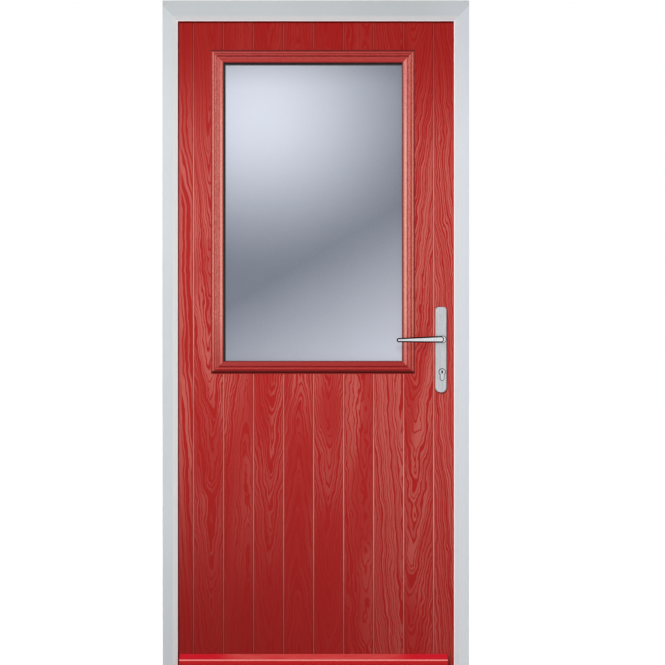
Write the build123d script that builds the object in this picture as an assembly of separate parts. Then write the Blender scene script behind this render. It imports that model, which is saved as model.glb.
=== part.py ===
from build123d import *
import os

os.makedirs("parts", exist_ok=True)

# Half-glazed door leaf in its frame. X is the width with the hinges at -X, Y the depth
# with the outside at -Y, Z is up. The origin is on the underside of the threshold,
# centred in the frame's width and depth.

# Outer frame
frame_width = 920.0
frame_height = 2030.0
frame_depth = 70.0
jamb_face = 45.0
bevel_width = 15.0
bevel_depth = 9.0
stop_leg_depth = 18.0
head_extension_height = 16.0
back_groove_width = 8.0
back_groove_depth = 3.0
fixing_hole_radius = 4.0
fixing_hole_count = 4
fixing_bottom_distance = 180.0
fixing_top_distance = 184.0
fixing_hole_depth_place = 4.0

# How the leaf sits in the frame
leaf_overlap = 15.0
edge_gap = 7.0
bottom_gap = 6.0
face_gap = 4.0
leaf_thickness = 44.0

# Threshold between the jambs
threshold_height = 15.0
threshold_nose_height = 5.0
threshold_nose_run = 9.0
upstand_height = 14.0
upstand_thickness = 7.0
chamber_wall = 2.5

# Weather seal round the frame
seal_inset = 7.5
seal_width = 6.0
seal_tongue_width = 3.0
seal_tongue_depth = 4.0
touch_gap = 0.3

# Leaf build-up
skin_thickness = 3.0
stile_width = 60.0
rail_height = 60.0
groove_count = 9
groove_pitch = 90.3
groove_width = 6.0
groove_floor_width = 2.0
groove_depth = 1.8
pattern_centre = -7.0

# Glazed opening
cassette_width = 607.5
cassette_height = 967.5
cassette_top_distance = 104.5
cassette_centre = -8.75
cassette_lip = 18.0
cassette_face = 34.5
cassette_leg_clearance = 1.0
edge_flat = 3.0
outer_bead_round = 4.0
outer_bead_width = 7.2
outer_bead_height = 7.0
quirk_run = 0.8
quirk_height = 5.0
inner_bead_width = 7.5
inner_bead_height = 9.5
inner_bead_end_height = 6.0
channel_slope = 0.8
channel_width = 3.6
channel_height = 4.0
band_high = 8.5
band_low = 6.0
band_nose = 1.5
unit_edge_cover = 12.5
pane_thickness = 4.0
unit_thickness = 28.0
glazing_seal_thickness = 2.0
glazing_seal_sight = 1.5
spacer_width = 11.0

# Weather bar
bar_hinge_end_gap = 5.0
bar_lock_end_gap = 19.0
bar_top = 66.5
bar_bottom = 34.5
bar_nose_height = 50.0
bar_reach = 20.0
bar_top_land = 2.5
drip_groove = 3.0

# Hinges on the inside face
hinge_height = 100.0
hinge_end_distance = 200.0
hinge_plate_thickness = 2.5
hinge_corner = 4.0
hinge_pivot_stand = 10.0
knuckle_radius = 7.0
pin_radius = 4.0
pin_clearance = 0.05
pin_head_radius = 6.0
pin_head_height = 3.0
knuckle_gap = 0.5
frame_flag_width = 20.0
leaf_flag_width = 42.0
leaf_flag_setback = 2.0

# Lock furniture
backset = 50.5
spindle_height = 1013.0
lock_centres = 98.0
plate_width = 35.0
plate_offset = 3.5
plate_above_spindle = 99.0
plate_length = 260.0
plate_thickness = 8.0
plate_top_corner = 11.0
plate_bottom_corner = 16.0
plate_edge_bevel = 2.0
boss_radius = 11.0
boss_height = 4.0
neck_radius = 8.0
passage_clearance = 0.8
running_clearance = 0.05
collar_gap = 1.0
collar_setback = 3.0
collar_bevel = 2.0
lever_length = 138.0
lever_end_setback = 5.0
lever_end_radius = 10.0
lever_tip_radius = 6.4
lever_tip_drop = 2.4
lever_thickness = 13.0
lever_stand = 33.0
lever_edge_bevel = 4.0
spindle_side = 8.0
spindle_clearance = 0.1
cylinder_radius = 8.5
cylinder_tail_width = 10.0
cylinder_height = 33.0
cylinder_stand = 3.0
cylinder_clearance = 0.4
plug_radius = 6.4
plug_length = 24.0
keyway_width = 2.0
keyway_height = 8.5

# Lock in the leaf edge
faceplate_width = 20.0
faceplate_thickness = 3.0
faceplate_end_distance = 150.0
lock_case_thickness = 16.0
lock_case_depth = 74.0
lock_case_above_spindle = 47.0
lock_case_below_cylinder = 51.0
bolt_setback = 0.4
bolt_clearance = 0.3
hook_end_distance = 330.0
hook_window = (8.0, 60.0)
latch_window = (12.0, 24.0)
deadbolt_window = (12.0, 34.0)
keep_width = 24.0
keep_thickness = 3.0
keep_margin = 22.0
keep_pocket_depth = 15.0

# Places that follow from the sizes above
half_width = frame_width / 2
outside = -frame_depth / 2
inside = frame_depth / 2
profile_top = frame_height - head_extension_height
stop_back = outside + stop_leg_depth
leaf_front = stop_back + face_gap
leaf_back = leaf_front + leaf_thickness
leaf_middle = (leaf_front + leaf_back) / 2
rebate = jamb_face - leaf_overlap - edge_gap
leaf_half_width = half_width - jamb_face + leaf_overlap
leaf_bottom = threshold_height + bottom_gap
leaf_top = profile_top - jamb_face + leaf_overlap
core_front = leaf_front + skin_thickness
core_back = leaf_back - skin_thickness
opening_half_width = half_width - jamb_face
seal_place = leaf_half_width - seal_inset
upstand_top = threshold_height + upstand_height
seal_bottom = (leaf_bottom + upstand_top) / 2
seal_top = leaf_top - seal_inset
pane_front = leaf_middle - unit_thickness / 2
cassette_centre_height = leaf_top - cassette_top_distance - cassette_height / 2
spindle_x = leaf_half_width - backset
plate_x = spindle_x - plate_offset
cylinder_z = spindle_height - lock_centres
plate_top = spindle_height + plate_above_spindle
plate_bottom = plate_top - plate_length
faceplate_bottom = leaf_bottom + faceplate_end_distance
faceplate_top = leaf_top - faceplate_end_distance
hook_heights = (faceplate_bottom + hook_end_distance, faceplate_top - hook_end_distance)
pivot_x = -(half_width - rebate)
pivot_y = inside + hinge_pivot_stand
hinge_centres = (
    leaf_bottom + hinge_end_distance,
    (leaf_bottom + leaf_top) / 2,
    leaf_top - hinge_end_distance,
)


def face_of(points):
    """Closed flat face through the given points."""
    return make_face(Polyline(*points, close=True))


def sheet(sketch, y_from, y_to):
    """Sketch drawn in X and Z, made solid between two depths."""
    return extrude(Plane.XZ.offset(-y_to) * sketch, amount=y_to - y_from)


def run_along_x(sketch, x_from, x_to):
    """Sketch drawn in Y and Z, made solid between two widths."""
    return extrude(Plane.YZ.offset(x_from) * sketch, amount=x_to - x_from)


def run_up(sketch, z_from, z_to):
    """Sketch drawn in X and Y, made solid between two heights."""
    return extrude(Plane.XY.offset(z_from) * sketch, amount=z_to - z_from)


def block(x_from, x_to, y_from, y_to, z_from, z_to):
    """Box between six planes."""
    size = (x_to - x_from, y_to - y_from, z_to - z_from)
    middle = ((x_from + x_to) / 2, (y_from + y_to) / 2, (z_from + z_to) / 2)
    return Pos(*middle) * Box(*size)


def rod(radius, x, z, y_from, y_to):
    """Round bar along Y."""
    return sheet(Pos(x, z) * Circle(radius), y_from, y_to)


def other_side(shape):
    """The same piece on the inside of the leaf."""
    return mirror(shape, about=Plane.XZ.offset(-leaf_middle))


def save(shape, node):
    """Write one node."""
    shape.label = node
    export_step(shape, "parts/" + node + ".step")


def frame_profile():
    """Frame section: across from the outer edge, then depth."""
    groove_half = seal_tongue_width / 2
    seal_across = jamb_face - leaf_overlap + seal_inset
    points = [
        (0, outside),
        (jamb_face - bevel_width, outside),
        (jamb_face, outside + bevel_depth),
        (jamb_face, stop_back),
        (seal_across + groove_half, stop_back),
        (seal_across + groove_half, stop_back - seal_tongue_depth),
        (seal_across - groove_half, stop_back - seal_tongue_depth),
        (seal_across - groove_half, stop_back),
        (rebate, stop_back),
        (rebate, inside),
        (0, inside),
    ]
    section = face_of(points)
    for place in (-frame_depth / 4, frame_depth / 4):
        section -= Pos(0, place) * Rectangle(2 * back_groove_depth, back_groove_width)
    return section


def jamb_bar():
    """Jamb at -X, mitred at the top, before its holes."""
    bar = Pos(-half_width, 0, 0) * run_up(frame_profile(), 0, profile_top)
    bar -= seal_tongue()
    corner = face_of([
        (-half_width, profile_top),
        (-half_width + jamb_face + 1, profile_top),
        (-half_width + jamb_face + 1, profile_top - jamb_face - 1),
    ])
    return bar - sheet(corner, outside - 1, inside + 1)


def drilled(jamb):
    """Jamb with its row of through fixing holes."""
    top = profile_top - fixing_top_distance
    pitch = (top - fixing_bottom_distance) / (fixing_hole_count - 1)
    hole = Circle(fixing_hole_radius)
    for number in range(fixing_hole_count):
        place = Pos(fixing_hole_depth_place, fixing_bottom_distance + number * pitch)
        jamb -= run_along_x(place * hole, -half_width - 1, half_width + 1)
    return jamb


def hinge_jamb():
    return drilled(jamb_bar())


def bolt_windows():
    """Height, width across and height of each bolt window in the leaf edge."""
    windows = [(spindle_height, *latch_window), (cylinder_z, *deadbolt_window)]
    for height in hook_heights:
        windows.append((height, *hook_window))
    return windows


def keep_spans():
    """Bottom and top of each keep on the lock jamb."""
    spans = [(cylinder_z - deadbolt_window[1] / 2 - keep_margin,
              spindle_height + latch_window[1] / 2 + keep_margin)]
    for height in hook_heights:
        half = hook_window[1] / 2 + keep_margin
        spans.append((height - half, height + half))
    return spans


def keep_plates():
    """Flat plates let into the lock jamb, level with its face."""
    face = half_width - rebate
    half = keep_width / 2
    plates = []
    for bottom, top in keep_spans():
        plate = block(face, face + keep_thickness, leaf_middle - half, leaf_middle + half, bottom, top)
        plates.append(plate)
    return plates


def keep_windows(depth):
    """Blocks that cut the bolt windows to the given depth behind the jamb's face."""
    face = half_width - rebate
    cuts = []
    for height, across, tall in bolt_windows():
        half_across = across / 2 + 1
        half_tall = tall / 2 + 2
        cut = block(face - 1, face + depth, leaf_middle - half_across, leaf_middle + half_across,
                    height - half_tall, height + half_tall)
        cuts.append(cut)
    return cuts


def lock_jamb():
    jamb = drilled(mirror(jamb_bar(), about=Plane.YZ))
    for cut in keep_plates() + keep_windows(keep_pocket_depth):
        jamb -= cut
    return jamb


def lock_keeps():
    keeps = []
    for plate in keep_plates():
        for cut in keep_windows(keep_thickness + 1):
            plate -= cut
        keeps.append(plate)
    return Compound(children=keeps)


def head():
    """Head bar with both ends mitred to meet the jambs."""
    section = Plane(origin=(0, 0, profile_top), x_dir=(0, 0, -1), z_dir=(1, 0, 0))
    bar = extrude(section.offset(-half_width) * frame_profile(), amount=frame_width)
    corner = face_of([
        (-half_width - 1, profile_top + 1),
        (-half_width - 1, profile_top - jamb_face - 1),
        (-half_width + jamb_face + 1, profile_top - jamb_face - 1),
    ])
    cut = sheet(corner, outside - 1, inside + 1)
    return bar - cut - mirror(cut, about=Plane.YZ)


def head_extension():
    """Add-on profile along the top of the head, hollow along its length."""
    bar = block(-half_width, half_width, outside, inside, profile_top, frame_height)
    wall = chamber_wall
    chamber = (frame_depth - 3 * wall) / 2
    for start in (outside + wall, outside + 2 * wall + chamber):
        bar -= block(-half_width - 1, half_width + 1, start, start + chamber,
                     profile_top + wall, frame_height - wall)
    return bar


def threshold():
    """Low sill between the jambs, notched round their outer legs."""
    groove_half = seal_tongue_width / 2
    points = [
        (outside, 0),
        (inside, 0),
        (inside, threshold_height),
        (stop_back, threshold_height),
        (stop_back, seal_bottom - groove_half),
        (stop_back - seal_tongue_depth, seal_bottom - groove_half),
        (stop_back - seal_tongue_depth, seal_bottom + groove_half),
        (stop_back, seal_bottom + groove_half),
        (stop_back, upstand_top),
        (stop_back - upstand_thickness, upstand_top),
        (stop_back - upstand_thickness, threshold_height),
        (outside + threshold_nose_run, threshold_height),
        (outside, threshold_nose_height),
    ]
    section = face_of(points)
    wall = chamber_wall
    for start, end in ((stop_back - upstand_thickness, -wall / 2), (wall / 2, inside - wall)):
        room = Pos((start + end) / 2, threshold_height / 2)
        section -= room * Rectangle(end - start, threshold_height - 2 * wall)
    reach = half_width - rebate
    sill = run_along_x(section, -reach, reach)
    for side in (-1, 1):
        start, end = sorted((side * opening_half_width, side * (reach + 1)))
        sill -= block(start, end, outside - 1, stop_back, -1, upstand_top + 1)
    return sill


def ring(x_half, z_low, z_high, width, x_middle=0.0):
    """Rectangular ring in X and Z, measured to its middle line."""
    middle = Pos(x_middle, (z_low + z_high) / 2)
    tall = z_high - z_low
    outer = Rectangle(2 * x_half + width, tall + width)
    return middle * (outer - Rectangle(2 * x_half - width, tall - width))


def seal_tongue():
    """Part of the frame seal that sits in its groove."""
    tongue = ring(seal_place, seal_bottom, seal_top, seal_tongue_width)
    return sheet(tongue, stop_back - seal_tongue_depth, stop_back)


def frame_seal():
    """Seal in the groove behind the frame's outer leg, all round the leaf."""
    bulb = ring(seal_place, seal_bottom, seal_top, seal_width)
    return sheet(bulb, stop_back, leaf_front - touch_gap) + seal_tongue()


def cassette_box(inset):
    """Rectangle in X and Z at a distance inside the cassette's outer edge."""
    place = Pos(cassette_centre, cassette_centre_height)
    return place * Rectangle(cassette_width - 2 * inset, cassette_height - 2 * inset)


def euro_outline(clearance=0.0):
    """Lock cylinder outline in X and Z: a round head over a narrow tail."""
    radius = cylinder_radius + clearance
    tail_half = cylinder_tail_width / 2 + clearance
    tail_bottom = cylinder_z + cylinder_radius - cylinder_height - clearance
    tail_end = tail_bottom + tail_half
    tail = Pos(spindle_x, (cylinder_z + tail_end) / 2) * Rectangle(2 * tail_half, cylinder_z - tail_end)
    end = Pos(spindle_x, tail_end) * Circle(tail_half)
    return Pos(spindle_x, cylinder_z) * Circle(radius) + tail + end


def lock_passages(shape):
    """Cut the round way for the spindle and the slot for the lock cylinder through a leaf piece."""
    shape -= rod(neck_radius + passage_clearance, spindle_x, spindle_height, leaf_front - 1, leaf_back + 1)
    half = cylinder_radius + passage_clearance
    top = cylinder_z + half
    bottom = top - cylinder_height - 2 * passage_clearance
    return shape - block(spindle_x - half, spindle_x + half, leaf_front - 1, leaf_back + 1, bottom, top)


def outer_skin():
    """Moulded sheet with upright grooves and the glazing cut-out."""
    skin = block(-leaf_half_width, leaf_half_width, leaf_front, core_front, leaf_bottom, leaf_top)
    half_mouth = groove_width / 2
    half_floor = groove_floor_width / 2
    mouth = face_of([
        (-half_mouth, leaf_front),
        (-half_floor, leaf_front + groove_depth),
        (half_floor, leaf_front + groove_depth),
        (half_mouth, leaf_front),
    ])
    first = pattern_centre - groove_pitch * (groove_count - 1) / 2
    for number in range(groove_count):
        place = Pos(first + number * groove_pitch, 0, 0)
        skin -= place * run_up(mouth, leaf_bottom - 1, leaf_top + 1)
    skin -= sheet(cassette_box(cassette_lip), leaf_front - 1, core_front + 1)
    return lock_passages(skin)


def lock_case(clearance=0.0):
    """Flat lock body behind the faceplate."""
    back = leaf_half_width - faceplate_thickness
    half = lock_case_thickness / 2 + clearance
    low = cylinder_z - lock_case_below_cylinder - clearance
    high = spindle_height + lock_case_above_spindle + clearance
    return block(back - lock_case_depth - clearance, back, leaf_middle - half, leaf_middle + half, low, high)


def faceplate_blank():
    """Long strip let into the leaf's lock edge."""
    middle = Pos(leaf_middle, (faceplate_bottom + faceplate_top) / 2)
    outline = middle * SlotOverall(faceplate_top - faceplate_bottom, faceplate_width, rotation=90)
    back = leaf_half_width - faceplate_thickness
    return run_along_x(outline, back, leaf_half_width)


def edge_pockets():
    """Pockets for the hooks behind the faceplate."""
    back = leaf_half_width - faceplate_thickness
    pockets = []
    for height in hook_heights:
        half_across = hook_window[0] / 2
        half_tall = hook_window[1] / 2
        pocket = block(back - keep_thickness, back, leaf_middle - half_across, leaf_middle + half_across,
                       height - half_tall, height + half_tall)
        pockets.append(pocket)
    return pockets


def core():
    """Foam between the skins, the stiles and the rails, with the glazing cut-out."""
    reach = leaf_half_width - stile_width
    foam = block(-reach, reach, core_front, core_back, leaf_bottom + rail_height, leaf_top - rail_height)
    foam -= sheet(cassette_box(cassette_lip), core_front - 1, core_back + 1)
    foam -= lock_case(bolt_clearance)
    return lock_passages(foam)


def hinge_stile():
    return block(-leaf_half_width, -leaf_half_width + stile_width, core_front, core_back, leaf_bottom, leaf_top)


def lock_stile():
    stile = mirror(hinge_stile(), about=Plane.YZ)
    stile -= faceplate_blank()
    stile -= lock_case(bolt_clearance)
    for pocket in edge_pockets():
        stile -= pocket
    return lock_passages(stile)


def rail(z_from):
    """Rail between the two stiles."""
    reach = leaf_half_width - stile_width
    return block(-reach, reach, core_front, core_back, z_from, z_from + rail_height)


def lock_faceplate():
    plate = faceplate_blank()
    back = leaf_half_width - faceplate_thickness
    for height, across, tall in bolt_windows():
        half_across = across / 2
        half_tall = tall / 2
        plate -= block(back - 1, leaf_half_width + 1, leaf_middle - half_across, leaf_middle + half_across,
                       height - half_tall, height + half_tall)
    return plate


def lock_bolts():
    """Latch, deadbolt and hooks, drawn back level with the faceplate."""
    back = leaf_half_width - faceplate_thickness
    front = leaf_half_width - bolt_setback
    bolts = []
    for height, across, tall in bolt_windows():
        start = back - keep_thickness if height in hook_heights else back
        half_across = across / 2 - bolt_clearance
        half_tall = tall / 2 - bolt_clearance
        bolt = block(start, front, leaf_middle - half_across, leaf_middle + half_across,
                     height - half_tall, height + half_tall)
        bolts.append(bolt)
    return Compound(children=bolts)


def weather_bar():
    """Drip bar across the foot of the leaf, with a groove under its nose."""
    nose = leaf_front - bar_reach
    points = [
        (leaf_front, bar_top),
        (leaf_front - bar_top_land, bar_top),
        (nose, bar_nose_height),
        (nose, bar_bottom + drip_groove),
        (nose + drip_groove, bar_bottom),
        (nose + 2 * drip_groove, bar_bottom),
        (nose + 2 * drip_groove, bar_bottom + drip_groove),
        (nose + 3 * drip_groove, bar_bottom + drip_groove),
        (nose + 3 * drip_groove, bar_bottom),
        (leaf_front, bar_bottom),
    ]
    start = -opening_half_width + bar_hinge_end_gap
    end = opening_half_width - bar_lock_end_gap
    return run_along_x(face_of(points), start, end)


def cassette_profile():
    """Cassette section: across from its outer edge, then depth, with two beads and a sloped band."""
    leg_end = pane_front - glazing_seal_thickness
    leg_start = cassette_lip + cassette_leg_clearance

    def proud(across, height):
        return (across, leaf_front - height)

    quirk = outer_bead_width + quirk_run
    bead_end = quirk + inner_bead_width
    channel = bead_end + channel_slope
    band = channel + channel_width + channel_slope
    nose = cassette_face - band_nose
    bead_top = proud(quirk + inner_bead_width / 2, inner_bead_height)
    outer_mid = proud(outer_bead_round * 0.3, edge_flat + (outer_bead_height - edge_flat) * 0.7)
    nose_mid = proud(cassette_face - band_nose * 0.3, band_low - band_nose * 0.3)
    outline = [
        Line(proud(0, 0), proud(0, edge_flat)),
        ThreePointArc(proud(0, edge_flat), outer_mid, proud(outer_bead_round, outer_bead_height)),
        Line(proud(outer_bead_round, outer_bead_height), proud(outer_bead_width, outer_bead_height)),
        Line(proud(outer_bead_width, outer_bead_height), proud(quirk, quirk_height)),
        ThreePointArc(proud(quirk, quirk_height), bead_top, proud(bead_end, inner_bead_end_height)),
        Line(proud(bead_end, inner_bead_end_height), proud(channel, channel_height)),
        Line(proud(channel, channel_height), proud(channel + channel_width, channel_height)),
        Line(proud(channel + channel_width, channel_height), proud(band, band_high)),
        Line(proud(band, band_high), proud(nose, band_low)),
        ThreePointArc(proud(nose, band_low), nose_mid, proud(cassette_face, band_low - band_nose)),
        Line(proud(cassette_face, band_low - band_nose), (cassette_face, leg_end)),
        Line((cassette_face, leg_end), (leg_start, leg_end)),
        Line((leg_start, leg_end), proud(leg_start, 0)),
        Line(proud(leg_start, 0), proud(0, 0)),
    ]
    return make_face(Wire(outline))


def outer_cassette():
    """Moulded glazing frame, mitred at its four corners."""
    half_x = cassette_width / 2
    half_z = cassette_height / 2
    upright = Pos(-half_x, 0, 0) * run_up(cassette_profile(), -half_z, half_z)
    section = Plane(origin=(0, 0, half_z), x_dir=(0, 0, -1), z_dir=(1, 0, 0))
    across = extrude(section.offset(-half_x) * cassette_profile(), amount=cassette_width)
    reach = cassette_face + 1
    upright_room = face_of([
        (-half_x, half_z),
        (-half_x + reach, half_z - reach),
        (-half_x + reach, -half_z + reach),
        (-half_x, -half_z),
    ])
    across_room = face_of([
        (-half_x, half_z),
        (-half_x + reach, half_z - reach),
        (half_x - reach, half_z - reach),
        (half_x, half_z),
    ])
    upright = upright & sheet(upright_room, leaf_front - 20, leaf_back)
    across = across & sheet(across_room, leaf_front - 20, leaf_back)
    frame = upright + mirror(upright, about=Plane.YZ) + across + mirror(across, about=Plane.XY)
    return Pos(cassette_centre, 0, cassette_centre_height) * frame


def outer_pane():
    edge = cassette_face - unit_edge_cover
    return sheet(cassette_box(edge), pane_front, pane_front + pane_thickness)


def spacer_bar():
    """Hollow bar that holds the two panes apart, round the edge of the unit."""
    edge = cassette_face - unit_edge_cover
    band = cassette_box(edge) - cassette_box(edge + spacer_width)
    back = pane_front + unit_thickness - pane_thickness
    return sheet(band, pane_front + pane_thickness, back)


def outer_glazing_seal():
    """Flat seal between the cassette's leg and the pane."""
    outer = cassette_box(cassette_face - unit_edge_cover + 1)
    inner = cassette_box(cassette_face + glazing_seal_sight)
    return sheet(outer - inner, pane_front - glazing_seal_thickness, pane_front)


def hinge_spans(centre):
    """Bottom and top of the lower, middle and upper knuckle."""
    third = (hinge_height - 2 * knuckle_gap) / 3
    low = centre - hinge_height / 2
    spans = []
    for number in range(3):
        start = low + number * (third + knuckle_gap)
        spans.append((start, start + third))
    return spans


def knuckle(z_from, z_to, radius):
    """Round barrel about the hinge's turning line."""
    return run_up(Pos(pivot_x, pivot_y) * Circle(radius), z_from, z_to)


def frame_flag(centre):
    """Hinge half on the frame's inside face, with the lower and upper knuckle."""
    low = centre - hinge_height / 2
    high = centre + hinge_height / 2
    far = pivot_x - frame_flag_width
    outline = face_of([
        (pivot_x, low),
        (pivot_x, high),
        (far + hinge_corner, high),
        (far, high - hinge_corner),
        (far, low + hinge_corner),
        (far + hinge_corner, low),
    ])
    flag = sheet(outline, inside, inside + hinge_plate_thickness)
    lower, middle, upper = hinge_spans(centre)
    for start, end in (lower, upper):
        flag += knuckle(start, end, knuckle_radius)
        flag += block(pivot_x - knuckle_radius, pivot_x, inside, pivot_y, start, end)
    flag -= block(pivot_x - knuckle_radius - 1, pivot_x + 1, inside - 1, pivot_y,
                  middle[0] - knuckle_gap, middle[1] + knuckle_gap)
    return flag - knuckle(low - 1, high + 1, pin_radius)


def leaf_flag(centre):
    """Hinge half on the leaf's inside face, with the middle knuckle."""
    low = centre - hinge_height / 2
    high = centre + hinge_height / 2
    start = pivot_x + edge_gap + leaf_flag_setback
    far = start + leaf_flag_width
    outline = face_of([
        (start, low),
        (start, high),
        (far - hinge_corner, high),
        (far, high - hinge_corner),
        (far, low + hinge_corner),
        (far - hinge_corner, low),
    ])
    plate = sheet(outline, leaf_back, leaf_back + hinge_plate_thickness)
    middle = hinge_spans(centre)[1]
    arm = face_of([
        (pivot_x, pivot_y + knuckle_radius),
        (pivot_x + knuckle_radius, pivot_y + knuckle_radius / 2),
        (start + 6, leaf_back + hinge_plate_thickness),
        (start + 6, leaf_back),
        (start, leaf_back),
        (pivot_x + 2, pivot_y - knuckle_radius + 1),
    ])
    flag = plate + run_up(arm, *middle) + knuckle(*middle, knuckle_radius)
    return flag - knuckle(low, high, pin_radius + pin_clearance)


def hinge_pins():
    """Pins fixed in the frame flags, each with a head on top of the barrel."""
    pins = []
    for centre in hinge_centres:
        high = centre + hinge_height / 2
        pin = knuckle(centre - hinge_height / 2, high, pin_radius)
        pins.append(pin + knuckle(high, high + pin_head_height, pin_head_radius))
    return Compound(children=pins)


def plate_outline():
    """Handle plate in X and Z, its top corners tighter than its bottom ones."""
    half = plate_width / 2
    outline = Pos(plate_x, (plate_top + plate_bottom) / 2) * Rectangle(plate_width, plate_length)
    corners = outline.vertices()
    top = corners.filter_by(lambda corner: corner.Y > spindle_height)
    outline = fillet(top, plate_top_corner)
    bottom = outline.vertices().sort_by(Axis.Y)[:2]
    return fillet(bottom, min(plate_bottom_corner, half - 0.1))


def outer_backplate():
    """Long handle plate with a lever boss and the cylinder cut-out."""
    front = leaf_front - plate_thickness
    plate = sheet(plate_outline(), front, leaf_front)
    plate = chamfer(plate.faces().sort_by(Axis.Y)[0].edges(), plate_edge_bevel)
    plate += rod(boss_radius, spindle_x, spindle_height, front - boss_height, leaf_front)
    bore = rod(neck_radius + running_clearance, spindle_x, spindle_height, front - boss_height - 1, leaf_front + 1)
    return plate - bore - sheet(euro_outline(cylinder_clearance), front - 1, leaf_front + 1)


def cylinder_body():
    """Lock cylinder through the leaf, bored from each side for its plug."""
    front = leaf_front - plate_thickness - cylinder_stand
    back = 2 * leaf_middle - front
    body = sheet(euro_outline(), front, back)
    radius = plug_radius + running_clearance
    body -= rod(radius, spindle_x, cylinder_z, front - 1, front + plug_length + running_clearance)
    return body - rod(radius, spindle_x, cylinder_z, back - plug_length - running_clearance, back + 1)


def outer_key_plug():
    """Round plug with an upright keyway in its face."""
    front = leaf_front - plate_thickness - cylinder_stand
    plug = rod(plug_radius, spindle_x, cylinder_z, front, front + plug_length)
    half = keyway_width / 2
    tall = keyway_height / 2
    return plug - block(spindle_x - half, spindle_x + half, front - 1, front + plug_length * 2 / 3,
                        cylinder_z - tall, cylinder_z + tall)


def outer_lever():
    """Straight tapered grip across the end of a round collar, whose neck turns in the plate's boss."""
    plate_front = leaf_front - plate_thickness
    back = plate_front - lever_stand
    front = back - lever_thickness
    tip_x = spindle_x - lever_length + lever_tip_radius
    end = Pos(spindle_x - lever_end_setback, spindle_height) * Circle(lever_end_radius)
    tip = Pos(tip_x, spindle_height - lever_tip_drop) * Circle(lever_tip_radius)
    grip = sheet(make_hull((end + tip).edges()), front, back)
    grip = chamfer(grip.faces().sort_by(Axis.Y)[0].edges(), lever_edge_bevel)
    collar_back = plate_front - boss_height - collar_gap
    collar = rod(boss_radius, spindle_x, spindle_height, front + collar_setback, collar_back)
    collar = chamfer(collar.faces().sort_by(Axis.Y)[0].edges(), collar_bevel)
    neck = rod(neck_radius, spindle_x, spindle_height, collar_back - 1, leaf_front - 1)
    lever = grip + collar + neck
    socket = spindle_side / 2 + spindle_clearance
    return lever - block(spindle_x - socket, spindle_x + socket, back, leaf_front,
                         spindle_height - socket, spindle_height + socket)


def spindle():
    """Square bar that joins the two levers through the lock."""
    end = leaf_front - plate_thickness - lever_stand
    half = spindle_side / 2
    return block(spindle_x - half, spindle_x + half, end, 2 * leaf_middle - end,
                 spindle_height - half, spindle_height + half)


def bored_lock_case():
    return lock_passages(lock_case())


save(hinge_jamb(), "hinge_jamb")
save(lock_jamb(), "lock_jamb")
save(head(), "head")
save(head_extension(), "head_extension")
save(threshold(), "threshold")
save(frame_seal(), "frame_seal")
save(lock_keeps(), "lock_keeps")
for place_name, centre in zip(("lower", "middle", "upper"), hinge_centres):
    save(frame_flag(centre), place_name + "_hinge_frame_flag")
    save(leaf_flag(centre), place_name + "_hinge_leaf_flag")
save(hinge_pins(), "hinge_pins")

save(outer_skin(), "outer_skin")
save(other_side(outer_skin()), "inner_skin")
save(core(), "core")
save(hinge_stile(), "hinge_stile")
save(lock_stile(), "lock_stile")
save(rail(leaf_bottom), "bottom_rail")
save(rail(leaf_top - rail_height), "top_rail")
save(weather_bar(), "weather_bar")
save(outer_cassette(), "outer_cassette")
save(other_side(outer_cassette()), "inner_cassette")
save(outer_glazing_seal(), "outer_glazing_seal")
save(other_side(outer_glazing_seal()), "inner_glazing_seal")
save(outer_pane(), "outer_pane")
save(other_side(outer_pane()), "inner_pane")
save(spacer_bar(), "spacer_bar")
save(lock_faceplate(), "lock_faceplate")
save(bored_lock_case(), "lock_case")
save(lock_bolts(), "lock_bolts")
save(outer_backplate(), "outer_backplate")
save(other_side(outer_backplate()), "inner_backplate")
save(cylinder_body(), "cylinder_body")
save(outer_key_plug(), "outer_key_plug")
save(other_side(outer_key_plug()), "inner_key_plug")
save(outer_lever(), "outer_lever")
save(other_side(outer_lever()), "inner_lever")
save(spindle(), "spindle")
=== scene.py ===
import math

import bmesh
import bpy
from mathutils import Matrix, Vector


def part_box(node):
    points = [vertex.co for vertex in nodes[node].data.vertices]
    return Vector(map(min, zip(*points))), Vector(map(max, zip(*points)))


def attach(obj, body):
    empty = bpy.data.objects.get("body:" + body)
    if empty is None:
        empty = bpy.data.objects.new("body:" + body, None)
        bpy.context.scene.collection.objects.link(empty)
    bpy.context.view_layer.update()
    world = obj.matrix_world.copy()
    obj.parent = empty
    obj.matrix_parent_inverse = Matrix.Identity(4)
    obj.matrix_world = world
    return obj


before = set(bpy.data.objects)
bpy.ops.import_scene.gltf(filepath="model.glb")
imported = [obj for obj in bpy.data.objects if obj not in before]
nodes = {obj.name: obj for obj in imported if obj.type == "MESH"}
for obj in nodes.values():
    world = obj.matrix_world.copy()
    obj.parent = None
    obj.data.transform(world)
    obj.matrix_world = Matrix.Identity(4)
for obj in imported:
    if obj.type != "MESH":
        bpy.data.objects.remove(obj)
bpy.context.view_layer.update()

# Places read from the fixed frame
pane_low, pane_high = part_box("outer_pane")
cassette_low, cassette_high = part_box("outer_cassette")
jamb_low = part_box("hinge_jamb")[0]
lock_jamb_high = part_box("lock_jamb")[1]
head_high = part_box("head")[1]
bar_low, bar_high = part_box("weather_bar")
plug_low, plug_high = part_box("outer_key_plug")

# Sizes of the part that its boxes don't give, in metres
jamb_face = 0.045
bar_nose = 0.050
cylinder_radius = 0.0085
cylinder_tail_radius = 0.005
cylinder_drop = 0.0195
cylinder_gap_width = 0.0008
cassette_face = 0.0345
flag_thickness = 0.0025
plate_thickness = 0.008
leaf_back = 0.031
keep_spans = ((0.449, 0.553), (0.876, 1.047), (1.452, 1.556))

# Edges of the frame's clear opening
opening_side = lock_jamb_high.x - jamb_face
opening_top = head_high.z - jamb_face

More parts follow.
